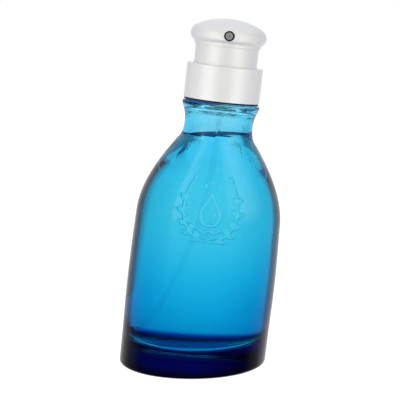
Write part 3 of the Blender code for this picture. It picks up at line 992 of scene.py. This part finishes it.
def rubber(name):
    """Black elastomer with a matt, slightly mottled skin."""
    n = Paint(name)
    fine = n.noise(1800.0, 4.0)
    n.set(Base_Color=n.ramp(fine, [(0.3, grey(0.018)), (0.75, grey(0.035))]))
    n.set(Roughness=n.span(fine, 0.3, 0.7, 0.6, 0.8))
    n.set(Normal=n.bump(fine, 0.2, 0.00004))
    return n.material


def drawn_metal(name, colour, rough, painted_glow=0.0):
    """Wire or pressed sheet with fine drawing marks, and a painted glow where it is seen through
    the glass, as far as its glow share says.
    """
    n = Paint(name)
    marks = n.noise(2400.0, 3.0, 0.7)
    low = tuple(c * 0.85 for c in colour)
    n.set(Base_Color=n.mottle(marks, low, colour), Metallic=1.0)
    n.set(Roughness=n.span(marks, 0.3, 0.7, rough - 0.06, rough + 0.1))
    n.set(Normal=n.bump(marks, 0.15, 0.00003))
    painted_neck_glow(n, painted_glow)
    return n.material


def let_light_in(n, tint, surface=None):
    """Shadow and diffuse rays pass straight through, tinted, instead of bending."""
    passing = n.math("MAXIMUM", n.path("Is Shadow Ray"), n.path("Is Diffuse Ray"))
    n.surface(n.blend(passing, surface or n.shader, n.clear(tint)))


GLASS_IOR = 1.52
LIQUID_IOR = 1.36
TUBE_IOR = 1.51
TUBE_SOAKED_IOR = 1.39  # nearly lost in the liquid
GLASS_ROUGH = 0.003

# What the tinted wall lets through where a ray goes in and out at one height,
# as linear RGB at heights in mm.
TINT_TOP = 100.0
TINT = [
    (0.0, (0.0, 0.000001, 0.006)),
    (1.5, (0.0, 0.00005, 0.014)),
    (3.0, (0.00001, 0.0018, 0.06)),
    (4.5, (0.0001, 0.030, 0.24)),
    (6.0, (0.0004, 0.150, 0.44)),
    (8.0, (0.0008, 0.26, 0.55)),
    (10.0, (0.0010, 0.27, 0.56)),
    (13.0, (0.0018, 0.30, 0.60)),
    (18.0, (0.0040, 0.33, 0.64)),
    (24.0, (0.0090, 0.39, 0.69)),
    (34.0, (0.0270, 0.47, 0.75)),
    (46.0, (0.0750, 0.55, 0.77)),
    (62.0, (0.0950, 0.59, 0.79)),
    (80.0, (0.1200, 0.64, 0.94)),
    (96.0, (0.2600, 0.80, 1.00)),
]
EDGE_DEPTH = 1.2
RELIEF_PALENESS = 0.35

# Painted shade: the outline of the wall darkens up to the shoulder, sooner near its top.
SHOULDER_TOP = 84.0 * MM
EDGE_RISE = 8 * MM
EDGE_GAIN = 0.40
SHOULDER_EDGE_SHADE = [(0.54, (1.0, 1.0, 1.0)), (0.62, (0.20, 0.15, 0.20))]

# Painted shade: a dark line round the neck just under the ledge's top.
LINE_BOTTOM = LEDGE_TOP - 0.8 * MM
LINE_FULL = LEDGE_TOP - 0.5 * MM
LEDGE_LINE_SHADE = (0.03, 0.05, 0.16)

# Steep views see through the foot of the wall.
BARE_FOOT = 6.0 * MM
BARE_TINT = (0.60, 0.93, 0.99)
STEEP_FROM = 0.50
STEEP_FULL = 0.65

# Under the base the lacquer laps round to these distances front and back.
LAP_BARE = 8 * MM
LAP_FULL = 13 * MM
LAP_TINT = (0.02, 0.05, 0.35)

# Loss in solid glass: none over the spare run, GLASS_LOSS after one more reach.
GLASS_LOSS = (0.3, 0.008, 0.22)
SPARE_RUN = 8 * MM
LOSS_REACH = 6 * MM
MOST_LOSS = 1.5
HEEL_TINT = (0.0, 0.002, 0.03)
HEEL_SHARE = 0.95

SURFACE_TINT = (0.9, 0.98, 1.0)
# Painted shade of the liquid's surface where it is seen from above.
SURFACE_SHADE_TONES = ((0.04, 0.07, 0.14), (0.06, 0.10, 0.19))
LIQUID_TINT = (0.72, 0.95, 0.965)


def glass_run(n):
    """How much solid glass the light has just crossed, beyond a spare stretch."""
    end = SPARE_RUN + MOST_LOSS * LOSS_REACH
    run = n.span(n.path("Ray Length"), SPARE_RUN, end, 0.0, MOST_LOSS)
    return n.math("MULTIPLY", run, n.geometry("Backfacing"))


def long_glass(n, run):
    """What a long stretch of solid glass, such as the heel, leaves of the light."""
    return n.add("Gamma", Color=GLASS_LOSS, Gamma=run).outputs[0]


def lacquer(n, facing):
    """Tint by height: deeper seen along the wall, paler on the raised motif."""
    z = n.math("MULTIPLY", n.height(), 1.0 / (TINT_TOP * MM))
    haze = n.math("MULTIPLY_ADD", n.noise(60.0, 2.0), 0.012, -0.006)
    colour = n.ramp(n.math("ADD", z, haze), [(h / TINT_TOP, c) for h, c in TINT])
    relief = n.add("Attribute")
    relief.attribute_name = "relief"
    depth = n.math("MULTIPLY_ADD", facing, EDGE_DEPTH, 1.0)
    depth = n.math("MULTIPLY_ADD", relief.outputs["Fac"], -RELIEF_PALENESS, depth)
    return n.add("Gamma", Color=colour, Gamma=depth).outputs[0]


def tinted_glass():
    """Outer wall: clear glass under a lacquer that deepens towards the base, with painted shade
    along the shoulder outline and in a line under the ledge.
    """
    n = Paint("blue_glass_wall")
    height = n.height()
    facing = n.facing()
    # Painted shade along the outline of the wall, up to the shoulder.
    rise = n.span(height, SHOULDER_TOP - EDGE_RISE, SHOULDER_TOP, 0.0, EDGE_GAIN)
    edge = n.ramp(n.math("ADD", facing, rise), SHOULDER_EDGE_SHADE)
    below = n.math("LESS_THAN", height, SHOULDER_TOP)
    tint = n.multiply(lacquer(n, facing), edge, below)
    # Painted shade: a dark line just under the ledge's top, on faces seen from outside.
    front = n.math("SUBTRACT", 1.0, n.geometry("Backfacing"))
    line = n.span(height, LINE_BOTTOM, LINE_FULL)
    tint = n.multiply(tint, LEDGE_LINE_SHADE, n.math("MULTIPLY", front, line))
    tint = n.multiply(tint, long_glass(n, glass_run(n)))
    upright = n.math("ABSOLUTE", n.axis(n.geometry("Incoming"), "Z"))
    steep = n.span(upright, STEEP_FROM, STEEP_FULL)
    foot = n.math("LESS_THAN", height, BARE_FOOT)
    tint = n.mix(n.math("MULTIPLY", steep, foot), tint, BARE_TINT)
    n.glassy(tint, GLASS_IOR)
    n.set(Roughness=n.span(n.noise(900.0), 0.45, 0.8, 0.0, GLASS_ROUGH))
    n.set(Normal=n.bump(n.noise(70.0, 1.0), 0.05, 0.0006))
    let_light_in(n, n.add("Gamma", Color=tint, Gamma=0.5).outputs[0])
    return n.material


def base_glass():
    """Underside: bare glass, with the wall's lacquer lapping under front and back."""
    n = Paint("blue_glass_base")
    wander = n.noise(180.0)
    tint = n.mottle(wander, (0.57, 0.92, 0.98), (0.63, 0.94, 1.0))
    away = n.math("ABSOLUTE", n.axis(n.position(), "Y"))
    tint = n.multiply(tint, LAP_TINT, n.span(away, LAP_BARE, LAP_FULL))
    n.glassy(tint, GLASS_IOR)
    n.set(Roughness=n.span(n.noise(300.0), 0.4, 0.8, 0.0, GLASS_ROUGH))
    n.set(Normal=n.bump(n.noise(120.0), 0.03, 0.0003))
    let_light_in(n, tint)
    return n.material


def inner_glass():
    """Inside face: glass against liquid below the level and against air above."""
    n = Paint("blue_glass_inside")
    wet = n.math("LESS_THAN", n.height(), FILL_HEIGHT + MENISCUS)
    run = glass_run(n)
    n.glassy(long_glass(n, run), soaked(n, wet, GLASS_IOR, GLASS_IOR))
    n.set(Roughness=n.span(n.noise(900.0), 0.45, 0.8, 0.0, GLASS_ROUGH))
    n.set(Normal=n.bump(n.noise(90.0, 1.0), 0.06, 0.0005))
    heel = n.add("BsdfDiffuse", Color=HEEL_TINT).outputs[0]
    share = n.span(run, 0.0, MOST_LOSS, 0.0, HEEL_SHARE)
    let_light_in(n, (1.0, 1.0, 1.0), n.blend(share, n.shader, heel))
    return n.material


def soaked(n, wet, under, dry):
    """Bending at a face: against liquid where wet, and against air elsewhere."""
    return n.math("MULTIPLY_ADD", wet, under / LIQUID_IOR - dry, dry)


def liquid_top():
    """Surface of the liquid: a painted deep navy shade seen along it from above, clear from
    below.
    """
    n = Paint("liquid_surface")
    ripple = n.noise(140.0, 1.0)
    n.glassy(SURFACE_TINT, LIQUID_IOR)
    n.set(Roughness=n.span(ripple, 0.3, 0.8, 0.0, GLASS_ROUGH))
    n.set(Normal=n.bump(ripple, 0.03, 0.0002))
    # Painted shade: from above, the surface darkens what lies behind it to a deep navy.
    above = n.clear(n.mottle(ripple, *SURFACE_SHADE_TONES))
    let_light_in(n, SURFACE_TINT, n.blend(n.geometry("Backfacing"), above, n.shader))
    return n.material


def liquid_side():
    """Where the liquid meets glass: no bending of its own, only its tint."""
    n = Paint("liquid_tint")
    low = tuple(c * 0.985 for c in LIQUID_TINT)
    tint = n.mottle(n.noise(50.0, 1.0), low, LIQUID_TINT)
    n.surface(n.clear(tint))
    return n.material


def tube_plastic():
    """Thin natural polyethylene, in liquid below the level and in air above."""
    n = Paint("tube_plastic")
    wet = n.math("LESS_THAN", n.height(), FILL_HEIGHT)
    streak = n.noise(700.0, 2.0)
    colour = n.mottle(streak, (0.93, 0.97, 0.98), (0.99, 1.0, 1.0))
    n.set(Base_Color=colour, Transmission_Weight=0.99)
    n.set(IOR=soaked(n, wet, TUBE_SOAKED_IOR, TUBE_IOR))
    n.set(Roughness=n.span(streak, 0.3, 0.7, 0.0, 0.05))
    n.set(Normal=n.bump(streak, 0.05, 0.00005))
    let_light_in(n, (0.97, 0.99, 0.99))
    return n.material


def paint_node(name, material):
    """Give a carried-over CAD node its procedural material."""
    slots = frame["nodes"][name].material_slots
    if not slots:
        frame["nodes"][name].data.materials.append(material)
    for slot in slots:
        slot.material = material


# ---------------------------------------- assembly


def build_object():
    """Every visible piece, on its body and in its slot."""
    glass = build_glass([tinted_glass(), base_glass(), inner_glass()])
    install(glass, "bottle", "glass_bottle")
    liquid = build_liquid(liquid_top(), liquid_side())
    install(liquid, "bottle", "aftershave_liquid")
    install(build_tube(tube_plastic()), "bottle", "dip_tube")
    clear_polymer = clear_plastic("housing_polymer")
    install(build_housing(clear_polymer), "bottle", "pump_housing")

    silver = satin_silver("collar_metal", 0.88, 0.30)
    install(build_collar(silver), "bottle", "collar_sleeve")
    skirt = satin_silver("skirt_metal", 0.86, 0.30)
    install(build_button_sleeve(skirt), "button", "button_sleeve")
    crown = satin_silver("crown_metal", 0.86, 0.36)
    install(build_dome(crown), "button", "button_dome")
    face = polymer("insert_polymer", (0.29, 0.29, 0.30), 0.35)
    install(build_insert(face), "button", "nozzle_insert")

    steel = drawn_metal("spring_steel", (0.62, 0.61, 0.6), 0.22)
    build_springs(steel)

    white = polymer("white_polymer", (0.84, 0.84, 0.81), 0.42)
    dark = polymer("core_polymer", (0.05, 0.05, 0.055), 0.5)
    black = liner_plastic()
    seal = rubber("seal_rubber")
    # Painted glow: the ferrule glows in full where it is seen through the glass.
    sheet = drawn_metal("ferrule_sheet", (0.80, 0.80, 0.81), 0.28, 1.0)
    kept = {
        "inlet_ball": steel,
        "valve_pin": white,
        "metering_piston": white,
        "pump_stem": white,
        "stem_seal": seal,
        "turret_cap": white,
        "neck_gasket": seal,
        "crimp_ferrule": sheet,
        "collar_liner": black,
        "actuator_core": dark,
    }
    for node, material in kept.items():
        paint_node(node, material)


def build_springs(steel):
    """Coils built in place of the spring nodes, each on the body it moves with."""
    wire = 0.15 * MM
    for node, body, joint, mean, turns, keep in (
        ("return_spring", "bottle", "button_press", 2.3 * MM, 3.5, 0.263),
        ("preload_spring", "plunger", "piston_slip", 2.15 * MM, 2.5, 0.64),
    ):
        bottom, top, _, _ = span(node)
        name = node.replace("spring", "coil")
        coil = build_spring(name, mean, wire, bottom, top, turns, steel)
        install(coil, body, node)
        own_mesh(coil)


# ---------------------------------------- studio

FLOOR_GLOW = 1.0
FLAG_LEVEL = 0.10
FLAG_AWAY = 0.040
FLAG_FRONT = -0.050
FLAG_BACK = 0.095
FLAG_TOP = 0.090
FADE_BACK = 0.045
FADE_TOP = 0.025
SIDE_VIEW_FROM = 0.80
SIDE_VIEW_FULL = 0.88


def build_floor():
    """Wide floor a hair under the bottle."""
    bm = bmesh.new()
    bmesh.ops.create_grid(bm, x_segments=2, y_segments=2, size=1.5)
    floor = finish_mesh("floor", bm, [floor_material()])
    floor.location.z = -0.05 * MM
    floor.visible_glossy = False


def floor_material():
    """Lit white paper: bright to the eye and through glass, dimmer as a light."""
    n = Paint("floor_paper")
    fibre = n.noise(900.0, 4.0, 0.6)
    n.set(Base_Color=n.mottle(fibre, grey(0.20), grey(0.24)))
    n.set(Roughness=0.8, Specular_IOR_Level=0.0)
    n.set(Normal=n.bump(fibre, 0.05, 0.00005))
    n.set(Emission_Color=(1.0, 1.0, 1.0), Emission_Strength=FLOOR_GLOW)
    return n.material


def flag_felt():
    """Dark felt that lets light through behind, above and seen from the side."""
    n = Paint("flag_felt")
    weave = n.noise(400.0, 2.0)
    n.set(Base_Color=(0.0, 0.0, 0.0), Specular_IOR_Level=0.0, Roughness=1.0)
    n.set(Emission_Strength=n.span(weave, 0.0, 1.0, FLAG_LEVEL * 0.9, FLAG_LEVEL * 1.1))
    across = n.math("ABSOLUTE", n.axis(n.geometry("Incoming"), "X"))
    sideways = n.span(across, SIDE_VIEW_FROM, SIDE_VIEW_FULL)
    behind = n.span(n.axis(n.position(), "Y"), FLAG_BACK - FADE_BACK, FLAG_BACK)
    above = n.span(n.axis(n.position(), "Z"), FLAG_TOP - FADE_TOP, FLAG_TOP)
    frayed = n.math("MAXIMUM", behind, above)
    away = n.math("MAXIMUM", sideways, frayed)
    n.surface(n.blend(away, n.shader, n.clear()))
    return n.material


def build_flags():
    """Dark cards at both sides, seen only through the glass: they edge it."""
    felt = flag_felt()
    for name, side in (("flag_left", -1.0), ("flag_right", 1.0)):
        bm = bmesh.new()
        foot = [(FLAG_FRONT, 0.0), (FLAG_BACK, 0.0)]
        head = [(FLAG_BACK, FLAG_TOP), (FLAG_FRONT, FLAG_TOP)]
        bm.faces.new([bm.verts.new((side * FLAG_AWAY, y, z)) for y, z in foot + head])
        flag = finish_mesh(name, bm, [felt])
        for ray in ("camera", "diffuse", "glossy", "shadow"):
            setattr(flag, "visible_" + ray, False)


# Brightness of the surround by its angle from straight behind, in degrees: as
# satin metal reflects it, as clear glass mirrors it, and as seen through glass.
SATIN_SKY = [
    (-180.0, 0.82),
    (-160.0, 0.88),
    (-146.0, 1.05),
    (-134.0, 1.12),
    (-120.0, 1.05),
    (-100.0, 0.86),
    (-83.0, 0.84),
    (-60.0, 0.78),
    (-43.0, 0.72),
    (0.0, 0.90),
    (43.0, 0.72),
    (60.0, 0.72),
    (83.0, 0.76),
    (100.0, 0.80),
    (120.0, 0.92),
    (134.0, 1.05),
    (146.0, 1.05),
    (160.0, 0.88),
    (180.0, 0.82),
]
MIRROR_SKY = [
    (-90.0, 0.02),
    (-60.0, 0.15),
    (-43.0, 0.36),
    (-25.0, 0.60),
    (0.0, 0.90),
    (25.0, 0.65),
    (43.0, 0.50),
    (60.0, 0.20),
    (90.0, 0.02),
]
SOFT_BOXES = [
    (-152.0, 0.0),
    (-140.0, 0.5),
    (-121.0, 1.2),
    (-119.0, 0.1),
    (-90.0, 0.0),
    (80.0, 0.0),
    (100.0, 0.7),
    (118.0, 1.2),
    (130.0, 1.1),
    (146.0, 0.5),
    (152.0, 0.0),
]
THROUGH_SKY = [
    (-180.0, 0.5),
    (-70.0, 0.8),
    (-40.0, 1.0),
    (40.0, 1.0),
    (70.0, 0.8),
    (180.0, 0.5),
]


class Sky(Nodes):
    """Node calls for the studio surround."""

    def __init__(self, world):
        world.use_nodes = True
        super().__init__(world.node_tree)
        self.background = self.tree.nodes["Background"]
        view = self.add("TexCoord").outputs["Generated"]
        self.up = self.axis(view, "Z")
        turn = self.math("ARCTAN2", self.axis(view, "X"), self.axis(view, "Y"))
        self.turn = self.math("ADD", self.math("MULTIPLY", turn, 0.5 / math.pi), 0.5)

    def round(self, levels):
        """Brightness by angle from straight behind."""
        stops = [(0.5 + angle / 360.0, grey(level)) for angle, level in levels]
        return self.ramp(self.turn, stops)

    def fade(self, low, high):
        """0 to 1 between two heights of the view direction."""
        node = self.add("MapRange", Value=self.up, From_Min=low, From_Max=high)
        node.interpolation_type = "SMOOTHSTEP"
        return node.outputs["Result"]

    def sum(self, a, b):
        node = self.add("VectorMath")
        self.link(a, node.inputs[0])
        self.link(b, node.inputs[1])
        return node.outputs[0]


WHITE = grey(1.0)
OVERHEAD = grey(0.88)
BLACK = grey(0.0)
OVERHEAD_FROM = 0.6
BOXES_FROM = -0.10
BOXES_FULL = 0.20


def build_world():
    """Soft studio surround, shaped for metal, for mirrored and for seen-through."""
    world = bpy.data.worlds.new("studio")
    bpy.context.scene.world = world
    sky = Sky(world)
    high = sky.math("GREATER_THAN", sky.up, OVERHEAD_FROM)
    satin = sky.mix(high, sky.round(SATIN_SKY), OVERHEAD)
    raised = sky.fade(BOXES_FROM, BOXES_FULL)
    boxes = sky.mix(raised, BLACK, sky.round(SOFT_BOXES))
    mirror = sky.sum(sky.round(MIRROR_SKY), boxes)
    glossy = sky.path("Is Glossy Ray")
    glass = sky.math("MULTIPLY", glossy, sky.path("Is Singular Ray"))
    seen = sky.mix(glass, satin, mirror)
    seen = sky.mix(sky.path("Is Transmission Ray"), seen, sky.round(THROUGH_SKY))
    seen = sky.mix(sky.path("Is Camera Ray"), seen, WHITE)
    sky.link(seen, sky.background.inputs["Color"])


CAMERA_AT = Vector((2.9, -476.0, 126.1)) * MM
CAMERA_PITCH = math.radians(8.01)
CAMERA_LENS = 120.6


def build_camera():
    """Level-headed view of the front from a little above."""
    data = bpy.data.cameras.new("camera")
    data.sensor_width = 36.0
    data.lens = CAMERA_LENS
    camera = bpy.data.objects.new("camera", data)
    camera.location = CAMERA_AT
    camera.rotation_euler = (0.5 * math.pi - CAMERA_PITCH, 0.0, 0.0)
    bpy.context.scene.collection.objects.link(camera)
    bpy.context.scene.camera = camera


def set_light_paths():
    """Enough bounces for light to cross glass, liquid and tube."""
    scene = bpy.context.scene
    scene.view_settings.view_transform = "Standard"
    scene.cycles.max_bounces = 24
    scene.cycles.transmission_bounces = 24
    scene.cycles.transparent_max_bounces = 32
    scene.cycles.glossy_bounces = 8
    scene.cycles.diffuse_bounces = 4
    scene.cycles.sample_clamp_indirect = 6.0


build_object()
build_floor()
build_flags()
build_world()
build_camera()
set_light_paths()
